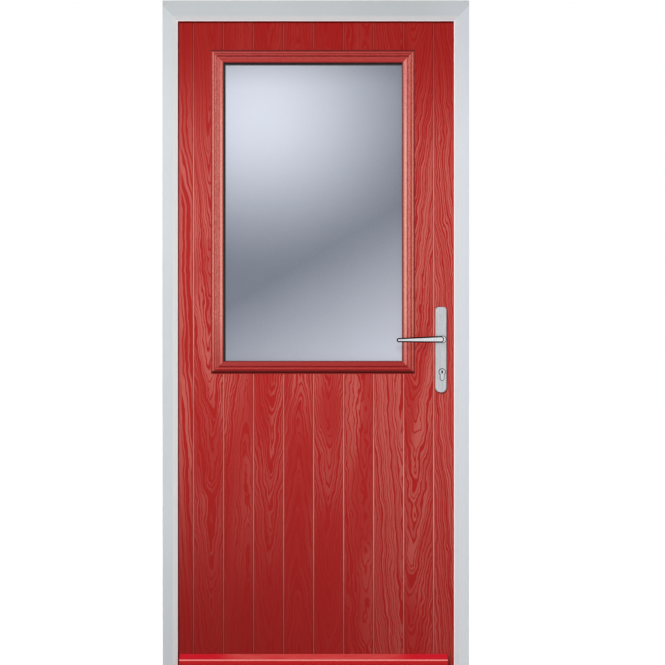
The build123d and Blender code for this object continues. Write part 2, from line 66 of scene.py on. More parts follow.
# Sealant strip and screws, in metres
seal_width = 0.0034
seal_height = 0.0012
seal_flat = 0.6
screw_radius = 0.0040
plate_screw_radius = 0.0042
screw_stand = 0.0012
screw_segments = 20
screw_profile = ((1.0, 0.0), (0.86, 0.35), (0.55, 0.5))
slot_arm = 0.42
slot_half = 0.11
slot_depth = 0.6
plate_screw_from_foot = 0.022
plate_screw_from_top = 0.020
frame_flag_screw_inset = 0.0075
leaf_flag_screw_inset = 0.044
flag_screw_reach = 0.036
faceplate_screw_shares = (0.012, 0.35, 0.63, 0.988)
keep_screw_inset = 0.010

# Boards between the grooves of the leaf, numbered across from the hinge side
groove_count = 9
groove_pitch = 0.0903
pattern_centre = -0.007
first_groove = pattern_centre - (groove_count - 1) / 2 * groove_pitch
first_board = -1

# Each board's growth rings: place of the arches across the board, their direction and how close they stand
boards = [
    (0.30, 0.60, 0.05),
    (0.58, 0.18, 0.60),
    (0.80, 0.66, 0.75),
    (0.55, 0.15, 0.70),
    (0.50, 0.90, 0.85),
    (0.48, 0.14, 0.75),
    (0.72, 0.38, 0.30),
    (0.98, 0.30, 1.00),
    (0.34, 0.12, 0.45),
    (0.96, 0.26, 1.00),
]

# Growth rings: how many stand in a metre, and how many each kind of wave carries them by
rings_per_metre = 70.0
close_rings_per_metre = 90.0
second_board_closeness = 1.6
arch_softness = 0.00006
arch_drift = 0.5
climb_per_metre = 50.0
wander_rings = 5.0
sway_rings = 3.4
wobble_rings = 0.8
uneven_rings = 1.6
seed_shift = 3.0
seed_scale = 7.3
seed_rings = 3.7
drift_scale = (1.0, 1.0, 2.3)
wander_scale = (1.0, 4.0, 1.6)
sway_scale = (26.0, 1.0, 14.0)
wobble_scale = (130.0, 1.0, 30.0)
uneven_scale = (0.8, 1.0, 1.0)

# Closeness of the rings at which a board changes its look
wide_rings = (0.10, 0.30)
even_patch = (0.88, 0.98)
second_board = (1.1, second_board_closeness)

# One growth ring: the share of it that stands proud, its two flanks and how light it is
proud_share = 0.38
proud_spread = 0.36
proud_rise = 0.16
proud_fall = 0.2
proud_light = 0.6
proud_light_spread = 0.5
ring_seed_scale = 13.0

# How much of the grain and of its painted sheen, or of a groove's painted highlight, is left at a place
first_board_unrest = 0.35
second_board_unrest = 0.4
second_board_grain = 0.75
least_patch = 0.25
foot_sheen = 0.1
lock_side_foot_sheen = 0.6
head_sheen = 0.18
hinge_side_groove = 0.5
lock_side_groove = 0.95
foot_groove = 0.4
beside_glass_groove = 0.7
head_groove = 0.24
least_groove_speck = 0.6

# Strengths of the painted shades and painted highlights that lie over a colour, of the weld lines and of the
# sealant's specks
foot_dark_hinge = 0.34
foot_dark_lock = 0.20
head_dark = 0.20
shoulder_dark = 0.35
hinge_edge_highlight = 0.6
calm_dip = 0.3
groove_dip = 0.45
outer_crest_light = 0.35
middle_crest_light = 0.30
inner_crest_light = 0.75
head_crest_light = 0.3
level_crest_light = 0.06
cassette_foot_falloff = 0.35
upright_grain = 0.85
level_grain = 0.22
under_dark = 0.85
nose_dark = 0.6
slope_dark = 0.42
rim_dark = (0.45, 0.18)
cassette_foot_dark = 0.85
frame_foot_dark = (0.02, 0.05)
frame_head_dark = 0.10
head_bar_dark = 0.12
bevel_relief = 0.6
bevel_highlight = 0.85
weld_dark = 0.35
pane_head_shade = 0.82
joint_shade = 0.8
dirt_in_specks = 0.2

# Heights, and places across, between which the leaf's grain, its painted sheen, its painted highlights and
# its painted shade change, in metres
last_boards_x = (0.27, 0.275)
last_boards_z = (0.93, 1.20)
second_board_z = (0.95, 1.60)
foot_shade_z = (0.0, 0.95)
foot_shade_x = (-0.45, 0.45)
head_shade_z = (1.5, 2.0)
sheen_foot_z = (0.15, 0.90)
sheen_foot_x = (0.10, 0.20)
painted_light_head_z = (1.45, 1.88)
calm_z = (0.80, 0.95)
calm_x = -0.09
calm_half = 0.10
calm_soft = 0.12
groove_side_x = (-0.35, 0.40)
groove_side_z = (0.6, 1.0)
groove_foot_z = (0.08, 0.5)
groove_glass_z = (1.0, 1.15)
groove_dip_z = 0.88
groove_dip_half = 0.03
groove_dip_soft = 0.25
gloss_z = (1.4, 2.0)
hinge_edge_x = -0.410
hinge_edge_half = 0.004

# Distances from the middle of a groove over which its painted highlight line and the painted shade on its
# shoulder fade, in metres
groove_line = (0.0010, 0.0026)
groove_shoulder = (0.0030, 0.0052)

# Glazing frame: heights, and distances from its outer edge, of its painted highlights and painted shades, in
# metres
cassette_falloff_z = (0.90, 1.12)
cassette_crest_z = (1.60, 1.85)
outer_crest = 0.0035
middle_crest = 0.0155
inner_crest_x = (-0.1, 0.1)
inner_crest_left = 0.0282
inner_crest_right = 0.0258
outer_crest_half = 0.001
outer_crest_soft = 0.002
crest_half = 0.0015
middle_crest_soft = 0.003
inner_crest_soft = 0.0035
cassette_nose = (0.0300, 0.0325)
cassette_slope = (0.0170, 0.0200)
cassette_foot = (0.0055, 0.0075)
cassette_rim = (0.0025, 0.0045)

# Drip bar, frame, cylinder and sealant: places and widths of their painted highlights, painted reflection and
# painted shades and of the weld lines, in metres, and directions that the bevel faces
bar_middle = (0.22, 0.30)
bar_nose_edge = 0.0010
bar_arris = 0.0012
frame_foot_z = (0.0, 1.1)
frame_foot_x = (-0.3, 0.3)
frame_head_z = (1.55, 2.0)
frame_mitre = (-0.002, 0.002)
lock_jamb_x = (0.30, 0.43)
bevel_facing_front = (-0.95, -0.90)
bevel_facing_in = (-0.75, -0.70)
lock_jamb_facing = (-0.30, -0.20)
weld_line = (0.0006, 0.0016)
arris_line = (0.0018, 0.0032)
arris_overlap = 0.001
cylinder_line = (0.0012, 0.0026)
keyway_side = (0.0020, 0.0030)
keyway_end = (0.0040, 0.0050)
sealant_joint = 0.001

# Obscure pane: its painted shadow lines and the bloom of its painted reflection from the upper left corner,
# in metres, and how light each part is
pane_top_shadow = (0.0068, 0.0086)
pane_side_shadow = (0.0055, 0.0072)
bloom_right = 0.120
bloom_down = 0.165
bloom_width = 0.59
bloom_height = 0.50
bloom_strength = 0.475
pane_base = 0.152
pane_slope_right = 0.56
pane_slope_down = 0.97
pane_rise_start = 0.735
pane_rise = 0.93
pane_haze = 0.02
pane_head = (0.0, 0.10)
pane_green = (1.04, 0.012)
pane_blue = (1.13, 0.045)

# Noise scales of the materials, in bumps per metre along each axis
skin_fibre = (900.0, 900.0, 60.0)
skin_patch = (9.0, 1.0, 2.2)
cassette_upright_grain = (520.0, 200.0, 150.0)
cassette_level_grain = (90.0, 200.0, 420.0)
edge_fibre = (300.0, 300.0, 24.0)
bar_streak = (14.0, 900.0, 300.0)
frame_cloud = (2.5, 2.5, 2.5)
frame_speck = (900.0, 900.0, 900.0)
rubber_speck = (1500.0, 1500.0, 1500.0)
sealant_speck = (700.0, 700.0, 700.0)
foam_cell = (900.0, 900.0, 900.0)
glass_haze = (6.0, 6.0, 6.0)
glass_speck = (1100.0, 1100.0, 1100.0)

# Part of a noise's range that holds nearly all of its values
noise_core = (0.3, 0.7)

# Colours as linear values
deep_red = (0.405, 0.0105, 0.0088, 1)
light_red = (0.53, 0.100, 0.081, 1)
moulding_red = (0.62, 0.165, 0.130, 1)
moulding_highlight = (0.86, 0.42, 0.34, 1)
groove_highlight_red = (1.0, 0.30, 0.25, 1)
shade_red = (0.24, 0.006, 0.006, 1)
foot_shade = (0.05, 0.003, 0.002, 1)
bar_red = (0.68, 0.010, 0.024, 1)
bar_reflection = (0.70, 0.090, 0.080, 1)
bar_under_shade = (0.53, 0.008, 0.010, 1)
bar_nose_highlight = (1.0, 0.34, 0.30, 1)
pale_grey = (0.575, 0.61, 0.635, 1)
paler_grey = (0.605, 0.64, 0.66, 1)
lock_jamb_lit_grey = (0.665, 0.69, 0.725, 1)
bevel_highlight_grey = (0.86, 0.865, 0.88, 1)
weld_grey = (0.3, 0.33, 0.35, 1)
arris_highlight_white = (1.0, 0.90, 0.90, 1)
rubber_grey = (0.025, 0.025, 0.027, 1)
sealant_red = (0.30, 0.022, 0.018, 1)
sealant_dirt_and_shade = (0.06, 0.006, 0.005, 1)
foam_dark = (0.62, 0.52, 0.30, 1)
foam_light = (0.75, 0.66, 0.42, 1)
black = (0.010, 0.010, 0.011, 1)
full_black = (0.0, 0.0, 0.0, 1)
white = (1, 1, 1, 1)
floor_grey = (0.8, 0.8, 0.8, 1)
floor_mirrored = (0.1, 0.1, 0.1, 1)
ceiling_grey = (0.03, 0.03, 0.03, 1)

# Metals: how far their grain changes colour and roughness, then each one's colour, roughness,
# scale of the drawn grain and height of its bump
metal_dark = 0.94
metal_rough_spread = 0.15
lever_metal = ((0.70, 0.71, 0.74), 0.16, 500.0, 0.000003)
plate_metal = ((0.50, 0.512, 0.53), 0.26, 500.0, 0.000001)
plug_metal = ((0.56, 0.57, 0.58), 0.30, 900.0, 0.00001)
cylinder_metal = ((0.56, 0.57, 0.585), 0.30, 900.0, 0.00001)
steel_metal = ((0.50, 0.50, 0.50), 0.34, 900.0, 0.00004)
sill_metal = ((0.56, 0.56, 0.57), 0.38, 700.0, 0.00004)
hinge_metal = ((0.52, 0.53, 0.54), 0.40, 600.0, 0.00003)
screw_metal = ((0.42, 0.42, 0.42), 0.3, 900.0, 0.00001)

# Light from all round, the floor, and the heights between which reflections of the sky turn dark
ambient = 0.18
floor_glow = 0.62
floor_reach = 30
floor_far = (1.6, 3.2)
ceiling_rise = (0.36, 0.60)

# Lamps: places in metres, angles in degrees
key_target = (0.06, 0, 1.0)
key_direction = (-0.38, -1, 0.5)
key_distance = 7
key_power = 1270
key_cone = 34
key_size = 0.12
front_place = (0, -4, 2.0)
front_strength = 0.4
front_angle = 6
back_place = (2.0, 4, 3.0)
back_strength = 2.2
back_angle = 8

# Camera: its place, and the height that its picture spans at the frame's face
camera_distance = 8.0
camera_x = 0.05
camera_z = 1.0335
picture_height = 1.995
sensor_width = 36.0
view_end = 100


class Tree:
    """Adds nodes to one node tree and links them."""

    def __init__(self, tree):
        self.tree = tree

    def add(self, kind, **values):
        node = self.tree.nodes.new(kind)
        for key, value in values.items():
            setattr(node, key, value)
        return node

    def put(self, value, socket):
        """Link a socket, or set a plain value."""
        if isinstance(value, bpy.types.NodeSocket):
            self.tree.links.new(value, socket)
        else:
            socket.default_value = value

    def math(self, operation, first, second=0.0):
        node = self.add("ShaderNodeMath", operation=operation)
        self.put(first, node.inputs[0])
        self.put(second, node.inputs[1])
        return node.outputs[0]

    def sum(self, *values):
        total = values[0]
        for value in values[1:]:
            total = self.math("ADD", total, value)
        return total

    def times(self, *values):
        total = values[0]
        for value in values[1:]:
            total = self.math("MULTIPLY", total, value)
        return total

    def less(self, first, second):
        return self.math("SUBTRACT", first, second)

    def rest(self, value):
        """What a share leaves of one."""
        return self.less(1.0, value)

    def most(self, first, second):
        return self.math("MAXIMUM", first, second)

    def least(self, first, second):
        return self.math("MINIMUM", first, second)

    def below(self, value, limit):
        """One where a value is below a limit, else zero."""
        return self.math("LESS_THAN", value, limit)

    def size(self, value):
        return self.math("ABSOLUTE", value)

    def gap(self, value, place):
        """Distance between two values."""
        return self.size(self.less(value, place))

    def length(self, *values):
        squares = [self.times(value, value) for value in values]
        return self.math("SQRT", self.sum(*squares))

    def step(self, value, low, high, to_low=0.0, to_high=1.0):
        """Smooth step of a value between two limits."""
        node = self.add("ShaderNodeMapRange", interpolation_type="SMOOTHSTEP")
        self.put(value, node.inputs["Value"])
        self.put(low, node.inputs["From Min"])
        self.put(high, node.inputs["From Max"])
        self.put(to_low, node.inputs["To Min"])
        self.put(to_high, node.inputs["To Max"])
        return node.outputs["Result"]

    def fade(self, value, low, high, start=1.0):
        """Smooth step that ends at zero."""
        return self.step(value, low, high, start, 0.0)

    def band(self, value, middle, half, soft):
        """One where a value is near a middle, falling softly to zero at both sides."""
        return self.fade(self.gap(value, middle), half, half + soft)

    def parts(self, value, kind="ShaderNodeSeparateXYZ"):
        """The three parts of a vector, or of a colour."""
        node = self.add(kind)
        self.put(value, node.inputs[0])
        return node.outputs[0], node.outputs[1], node.outputs[2]

    def vector(self, x, y, z):
        node = self.add("ShaderNodeCombineXYZ")
        self.put(x, node.inputs[0])
        self.put(y, node.inputs[1])
        self.put(z, node.inputs[2])
        return node.outputs[0]

    def position(self):
        """The coordinates of the shaded point in the object's own frame, in metres."""
        return self.parts(self.add("ShaderNodeTexCoord").outputs["Object"])

    def facing(self):
        """The direction that the surface faces, in the object's own frame."""
        return self.parts(self.add("ShaderNodeTexCoord").outputs["Normal"])

    def noise(self, x, y, z, scales, detail=2.0, roughness=0.5):
        """Noise of a point, with one scale per axis in bumps per metre."""
        scaled = [self.times(value, scale) for value, scale in zip((x, y, z), scales)]
        node = self.add("ShaderNodeTexNoise")
        self.put(self.vector(*scaled), node.inputs["Vector"])
        self.put(1.0, node.inputs["Scale"])
        self.put(detail, node.inputs["Detail"])
        self.put(roughness, node.inputs["Roughness"])
        return node.outputs["Fac"]

    def swing(self, x, y, z, scales, detail=1.0):
        """Noise that goes as far below zero as above it."""
        return self.less(self.noise(x, y, z, scales, detail), 0.5)

    def random(self, value):
        """Three random numbers that stay the same for one whole number."""
        node = self.add("ShaderNodeTexWhiteNoise", noise_dimensions="1D")
        self.put(value, node.inputs["W"])
        return self.parts(node.outputs["Color"], "ShaderNodeSeparateColor")

    def mix(self, share, first, second):
        """Mix of two colours."""
        node = self.add("ShaderNodeMix", data_type="RGBA")
        sockets = {socket.identifier: socket for socket in node.inputs}
        self.put(share, sockets["Factor_Float"])
        self.put(first, sockets["A_Color"])
        self.put(second, sockets["B_Color"])
        return {socket.identifier: socket for socket in node.outputs}["Result_Color"]

    def blend(self, share, first, second):
        """Mix of two plain numbers."""
        return self.sum(self.times(self.rest(share), first), self.times(share, second))


class Shader(Tree):
    """One material with its surface."""

    def __init__(self, name):
        self.material = bpy.data.materials.new(name)
        self.material.use_nodes = True
        super().__init__(self.material.node_tree)
        self.surface = self.tree.nodes["Principled BSDF"]

    def set(self, name, value):
        self.put(value, self.surface.inputs[name])

    def bump(self, height, distance, strength):
        node = self.add("ShaderNodeBump")
        self.put(distance, node.inputs["Distance"])
        self.put(strength, node.inputs["Strength"])
        self.put(height, node.inputs["Height"])
        self.put(node.outputs[0], self.surface.inputs["Normal"])

    def finish(self, colour, grain, roughness, specular, distance, strength):
        """Set the surface, with its roughness and its bump taken from one fine grain."""
        self.set("Base Color", colour)
        self.set("Roughness", self.step(grain, *noise_core, *roughness))
        self.set("Specular IOR Level", specular)
        self.bump(grain, distance, strength)
        return self.material


def board_values(shader, number):
    """The three values of a board, picked from the list by its number."""
    ramp = shader.add("ShaderNodeValToRGB")
    ramp.color_ramp.interpolation = "CONSTANT"
    elements = ramp.color_ramp.elements
    for index, values in enumerate(boards):
        place = index / len(boards)
        stop = elements[0] if index == 0 else elements.new(place)
        stop.position = place
        stop.color = values + (1,)
    elements.remove(elements[-1])
    stop_middle = shader.sum(number, 0.5 - first_board)
    shader.put(shader.times(stop_middle, 1 / len(boards)), ramp.inputs[0])
    return shader.parts(ramp.outputs["Color"], "ShaderNodeSeparateColor")


def closeness_beside_glass(shader, number, x, z):
    """How close the rings stand beside the glass: on the last two boards, and closest on the second."""
    last = shader.times(shader.step(x, *last_boards_x), shader.step(z, *last_boards_z))
    second = shader.times(shader.below(shader.size(number), 0.5), shader.step(z, *second_board_z))
    return shader.most(last, shader.times(second, second_board_closeness))


def ring_waves(shader, x, z, seed, closeness):
    """Waves of the rings, the short ones calmer on the first board and on the second beside the glass."""
    unrest = shader.times(shader.step(closeness, *wide_rings, first_board_unrest, 1.0),
                          shader.step(closeness, *second_board, 1.0, second_board_unrest))
    wander = shader.times(shader.swing(seed, x, z, wander_scale), wander_rings)
    sway = shader.times(shader.swing(x, seed, z, sway_scale), unrest, sway_rings)
    wobble = shader.times(shader.swing(x, seed, z, wobble_scale, detail=2.0), unrest, wobble_rings)
    return shader.sum(wander, sway, wobble)


def board_rings(shader, x, z):
    """Growth rings counted across, distance to the nearest groove, and the board's seed and closeness."""
    along = shader.times(shader.less(x, first_groove), 1 / groove_pitch)
    number = shader.math("FLOOR", along)
    across = shader.less(shader.less(along, number), 0.5)
    centre, direction, closeness = board_values(shader, number)
    closeness = shader.most(closeness, closeness_beside_glass(shader, number, x, z))
    seed = shader.times(shader.sum(number, seed_shift), seed_scale)
    drift = shader.times(shader.swing(seed, 0.0, z, drift_scale), arch_drift)
    from_arch = shader.sum(shader.less(across, shader.less(centre, 0.5)), drift)
    from_arch = shader.times(from_arch, groove_pitch)
    flank = shader.math("SQRT", shader.sum(shader.times(from_arch, from_arch), arch_softness))
    density = shader.sum(rings_per_metre, shader.times(closeness, close_rings_per_metre))
    climb = shader.times(shader.less(direction, 0.5), z, climb_per_metre)
    waves = ring_waves(shader, x, z, seed, closeness)
    rings = shader.sum(shader.times(flank, density), climb, waves, shader.times(seed, seed_rings))
    uneven = shader.noise(rings, seed, 0.0, uneven_scale, detail=1.0)
    rings = shader.sum(rings, shader.times(uneven, uneven_rings))
    edge = shader.times(shader.less(0.5, shader.size(across)), groove_pitch)
    return rings, edge, seed, closeness


def ring_light(shader, rings, seed):
    """How far each growth ring stands proud, over a random share of its width."""
    ring = shader.math("FLOOR", rings)
    part = shader.less(rings, ring)
    wide, tone = shader.random(shader.sum(ring, shader.times(seed, ring_seed_scale)))[:2]
    share = shader.sum(proud_share, shader.times(wide, proud_spread))
    rise = shader.step(part, 0.0, proud_rise)
    fall = shader.fade(part, share, shader.sum(share, proud_fall))
    return shader.times(rise, fall, shader.sum(proud_light, shader.times(tone, proud_light_spread)))


def painted_sheen_share(shader, x, z):
    """How much of the grain's painted sheen shows: less at the leaf's head, and at its foot, least on the
    hinge side.
    """
    foot = shader.step(x, *sheen_foot_x, foot_sheen, lock_side_foot_sheen)
    lower = shader.step(z, *sheen_foot_z, foot, 1.0)
    return shader.times(lower, shader.step(z, *painted_light_head_z, 1.0, head_sheen))


def grain_sheen(shader, x, z, light, seed, closeness, fibre):
    """How much lighter the proud rings are, partly their own grain and partly painted sheen, in random
    patches and fainter in the middle boards below the glass, before the heights are counted.
    """
    patch = shader.noise(x, seed, z, skin_patch, detail=1.0)
    patch = shader.step(patch, 0.36, 0.56, least_patch, 1.0)
    patch = shader.most(patch, shader.step(closeness, *even_patch))
    calm = shader.times(shader.band(x, calm_x, calm_half, calm_soft), shader.fade(z, *calm_z))
    second = shader.step(closeness, *second_board, 1.0, second_board_grain)
    return shader.times(light, patch, shader.step(fibre, 0.2, 0.7, 0.75, 1.2),
                        shader.rest(shader.times(calm, calm_dip)), second)


def groove_light(shader, x, z, edge, fibre):
    """Painted highlight on a groove's line: least at the foot, the head and just under the glass."""
    line = shader.fade(edge, *groove_line)
    hinge_side = shader.step(z, *groove_side_z, hinge_side_groove, 1.0)
    side = shader.step(x, *groove_side_x, hinge_side, lock_side_groove)
    dip = shader.times(shader.band(z, groove_dip_z, groove_dip_half, groove_dip_soft), groove_dip)
    foot = shader.step(z, *groove_foot_z, foot_groove, 1.0)
    beside_glass = shader.step(z, *groove_glass_z, 1.0, beside_glass_groove)
    top = shader.step(z, *painted_light_head_z, 1.0, head_groove)
    speck = shader.step(fibre, 0.25, 0.6, least_groove_speck, 1.0)
    return shader.times(line, side, shader.rest(dip), foot, beside_glass, top, speck)


def leaf_shade(shader, x, z):
    """Painted shade: how much darker the red is towards the leaf's foot, most at the hinge side, and towards
    its head.
    """
    foot = shader.step(x, *foot_shade_x, foot_dark_hinge, foot_dark_lock)
    foot = shader.times(shader.fade(z, *foot_shade_z), foot)
    return shader.sum(foot, shader.step(z, *head_shade_z, 0.0, head_dark))


def red_skin():
    """Moulded red skin: each board has its own rings, lighter where they stand proud, partly their own grain
    and partly painted sheen, with painted highlights on the grooves and painted shade at the head and the
    foot.
    """
    shader = Shader("red_woodgrain_skin")
    x, y, z = shader.position()
    rings, edge, seed, closeness = board_rings(shader, x, z)
    fibre = shader.noise(x, y, z, skin_fibre, roughness=0.6)
    light = ring_light(shader, rings, seed)
    share = painted_sheen_share(shader, x, z)
    # Painted sheen on the proud rings, over their own lighter grain, fading towards the head and the foot
    sheen = shader.times(grain_sheen(shader, x, z, light, seed, closeness, fibre), share)
    colour = shader.mix(sheen, deep_red, light_red)
    # Painted shade on the shoulders of each groove
    colour = shader.mix(shader.fade(edge, *groove_shoulder, shoulder_dark), colour, shade_red)
    # Painted highlight along each groove's line
    colour = shader.mix(groove_light(shader, x, z, edge, fibre), colour, groove_highlight_red)
    # Painted highlight along the leaf's hinge edge
    hinge_edge = shader.band(x, hinge_edge_x, hinge_edge_half, hinge_edge_half)
    colour = shader.mix(shader.times(hinge_edge, share, hinge_edge_highlight), colour, light_red)
    # Painted shade towards the leaf's foot and head
    colour = shader.mix(leaf_shade(shader, x, z), colour, full_black)
    shader.set("Base Color", colour)
    shader.set("Roughness", shader.sum(0.34, shader.times(light, 0.16)))
    shader.set("Specular IOR Level", shader.step(z, *gloss_z, 0.15, 0.03))
    relief = shader.sum(shader.times(light, 0.7), shader.times(fibre, 0.3))
    shader.bump(relief, distance=0.0003, strength=0.6)
    return shader.material


def cassette_place(shader, x, z):
    """Distances from the nearer end and the outer edge, one on a level member, one in the lower half."""
    middle = (cassette_low + cassette_high) / 2
    half = (cassette_high - cassette_low) / 2
    from_side = shader.less(half.x, shader.gap(x, middle.x))
    from_end = shader.less(half.z, shader.gap(z, middle.z))
    across = shader.least(from_end, from_side)
    return from_end, across, shader.below(from_end, from_side), shader.below(z, middle.z)


def cassette_crests(shader, x, across):
    """Painted highlights along the three ridges of the glazing frame, most on the inner one."""
    inner = shader.step(x, *inner_crest_x, inner_crest_left, inner_crest_right)
    crests = (
        (outer_crest, outer_crest_half, outer_crest_soft, outer_crest_light),
        (middle_crest, crest_half, middle_crest_soft, middle_crest_light),
        (inner, crest_half, inner_crest_soft, inner_crest_light),
    )
    lights = []
    for place, half, soft, light in crests:
        lights.append(shader.times(shader.band(across, place, half, soft), light))
    return shader.sum(*lights)


def red_cassette():
    """Moulded glazing frame with fine grain along each side, painted highlights on its ridges that fade
    towards its foot and head, and painted shade on its lower faces, its nose and its foot.
    """
    shader = Shader("red_woodgrain_cassette")
    x, y, z = shader.position()
    from_end, across, level, lower = cassette_place(shader, x, z)
    bottom = shader.times(level, lower)
    grain = shader.blend(level, shader.noise(x, y, z, cassette_upright_grain, detail=3.0, roughness=0.7),
                         shader.noise(x, y, z, cassette_level_grain, detail=3.0, roughness=0.7))
    # Painted light falloff: the grain's tone and the highlights fade towards the foot
    painted_falloff = shader.step(z, *cassette_falloff_z, cassette_foot_falloff, 1.0)
    amount = shader.times(shader.step(grain, 0.38, 0.62, 0.15, 1.0),
                          shader.blend(level, upright_grain, level_grain), painted_falloff)
    colour = shader.mix(amount, deep_red, moulding_red)
    # Painted highlights on the three ridges
    crest = shader.times(cassette_crests(shader, x, across), shader.step(grain, 0.3, 0.6, 0.5, 1.0),
                         shader.blend(level, 1.0, level_crest_light), painted_falloff,
                         shader.step(z, *cassette_crest_z, 1.0, head_crest_light))
    colour = shader.mix(crest, colour, moulding_highlight)
    # Painted shade on faces that look down and on the nose
    under = shader.times(shader.fade(shader.facing()[2], -0.75, -0.3, under_dark), level)
    nose = shader.times(shader.step(across, *cassette_nose, 0.0, nose_dark), shader.rest(bottom))
    colour = shader.mix(shader.most(under, nose), colour, shade_red)
    # Painted shade on the lower member's inner slope and on the upper rim
    slope = shader.times(bottom, shader.step(across, *cassette_slope))
    rim = shader.times(shader.less(level, bottom), shader.step(across, *cassette_rim, *rim_dark))
    colour = shader.mix(shader.sum(shader.times(slope, slope_dark), rim), colour, shade_red)
    # Painted shade on the lower member's outer edge, under the bead
    foot = shader.times(lower, shader.fade(from_end, *cassette_foot, cassette_foot_dark))
    shader.set("Base Color", shader.mix(foot, colour, foot_shade))
    shader.set("Roughness", shader.sum(0.34, shader.times(amount, 0.14)))
    shader.set("Specular IOR Level", shader.blend(shader.most(slope, foot), 0.3, 0.08))
    shader.bump(grain, distance=0.0003, strength=0.5)
    return shader.material


def red_edge():
    """Painted edge of the leaf."""
    shader = Shader("painted_red_edge")
    fibre = shader.noise(*shader.position(), edge_fibre, detail=3.0, roughness=0.6)
    colour = shader.mix(shader.step(fibre, *noise_core, 0.0, 0.5), deep_red, light_red)
    return shader.finish(colour, fibre, roughness=(0.4, 0.55), specular=0.3, distance=0.0002, strength=0.4)


def red_bar():
    """Glossy red drip bar with a fine drawn grain, a painted reflection along its middle, painted shade on
    the face under its nose and a painted highlight on the nose.
    """
    shader = Shader("red_drip_bar")
    x, y, z = shader.position()
    streak = shader.noise(x, y, z, bar_streak)
    from_middle = shader.gap(x, (bar_low.x + bar_high.x) / 2)
    # Painted reflection along the bar's middle
    amount = shader.times(shader.fade(from_middle, *bar_middle), shader.step(streak, *noise_core, 0.3, 1.0))
    colour = shader.mix(amount, bar_red, bar_reflection)
    # Painted shade on the face under the nose
    colour = shader.mix(shader.fade(z, bar_nose - bar_nose_edge, bar_nose), colour, bar_under_shade)
    # Painted highlight on the nose
    colour = shader.mix(shader.band(z, bar_nose, bar_arris, bar_nose_edge), colour, bar_nose_highlight)
    return shader.finish(colour, streak, roughness=(0.30, 0.42), specular=0.25, distance=0.0001, strength=0.4)


def frame_shade(shader, x, z, sloped):
    """Painted shade: how much darker the grey is along the head, less on its bevel, and at the feet of the
    jambs.
    """
    foot = shader.times(shader.fade(z, *frame_foot_z), shader.step(x, *frame_foot_x, *frame_foot_dark))
    top = shader.step(z, *frame_head_z, 0.0, frame_head_dark)
    mitre = shader.less(shader.less(z, opening_top), shader.less(shader.size(x), opening_side))
    over = shader.times(shader.step(mitre, *frame_mitre), head_bar_dark)
    return shader.sum(foot, top, shader.times(over, shader.rest(shader.times(sloped, bevel_relief))))


def frame_weld(shader, x, z):
    """Fine lines at the corners where the jambs and the head are welded."""
    left = shader.gap(shader.less(x, z), jamb_low.x - head_high.z)
    right = shader.gap(shader.sum(x, z), lock_jamb_high.x + head_high.z)
    return shader.most(shader.fade(left, *weld_line), shader.fade(right, *weld_line))


def frame_arris(shader, x, z):
    """Painted highlight on the edge of the frame's clear opening, along both jambs and the head."""
    from_side = shader.gap(shader.size(x), opening_side)
    side = shader.times(shader.fade(from_side, *arris_line), shader.below(z, opening_top + arris_overlap))
    from_top = shader.gap(z, opening_top)
    within = shader.below(shader.size(x), opening_side + arris_overlap)
    return shader.most(side, shader.times(shader.fade(from_top, *arris_line), within))


def frame_bevel(shader):
    """The sloped inner faces of the hinge jamb and of the head, by the way that they face, where the bevel's
    painted highlight goes.
    """
    side, out = shader.facing()[:2]
    sloped = shader.times(shader.step(out, *bevel_facing_front), shader.fade(out, *bevel_facing_in))
    return shader.times(sloped, shader.step(side, *lock_jamb_facing))


def pale_frame():
    """Pale grey profile with a faint foil grain and fine lines at the welded corners, a painted highlight on
    the arris and on the bevel, painted light on the lock jamb and painted shade along the head and at the
    feet.
    """
    shader = Shader("pale_grey_profile")
    x, y, z = shader.position()
    cloud = shader.noise(x, y, z, frame_cloud)
    speck = shader.noise(x, y, z, frame_speck)
    weld = frame_weld(shader, x, z)
    sloped = frame_bevel(shader)
    colour = shader.mix(shader.step(cloud, *noise_core), pale_grey, paler_grey)
    # Painted light: the lock jamb lighter
    colour = shader.mix(shader.step(x, *lock_jamb_x), colour, lock_jamb_lit_grey)
    # Painted highlight on the bevel
    colour = shader.mix(shader.times(sloped, bevel_highlight), colour, bevel_highlight_grey)
    # Painted shade along the head and at the feet
    colour = shader.mix(frame_shade(shader, x, z, sloped), colour, full_black)
    colour = shader.mix(shader.times(weld, weld_dark), colour, weld_grey)
    # Painted highlight on the arris
    shader.set("Base Color", shader.mix(frame_arris(shader, x, z), colour, arris_highlight_white))
    shader.set("Roughness", shader.step(speck, *noise_core, 0.4, 0.5))
    shader.set("Specular IOR Level", 0.4)
    shader.bump(shader.less(speck, weld), distance=0.0001, strength=0.4)
    return shader.material


def metal(name, colour, roughness, grain, distance, shade_line=None, dark_reflection_rim=False):
    """Metal with a fine drawn surface, and a painted shadow line or a painted dark reflection on the bevels
    where they are asked for.
    """
    shader = Shader(name)
    x, y, z = shader.position()
    streak = shader.noise(x, y, z, (grain, grain, grain / 30))
    darker = tuple(value * metal_dark for value in colour) + (1,)
    surface = shader.mix(shader.step(streak, *noise_core), darker, colour + (1,))
    if shade_line:
        # Painted shadow line
        surface = shader.mix(shade_line(shader, x, z), surface, black)
    if dark_reflection_rim:
        # Painted dark reflection on the bevels
        out = shader.size(shader.facing()[1])
        sloped = shader.times(shader.step(out, 0.2, 0.5), shader.fade(out, 0.80, 0.95))
        surface = shader.mix(sloped, surface, black)
    shader.set("Metallic", 1.0)
    spread = (roughness * (1 - metal_rough_spread), roughness * (1 + metal_rough_spread))
    return shader.finish(surface, streak, spread, specular=0.5, distance=distance, strength=0.4)


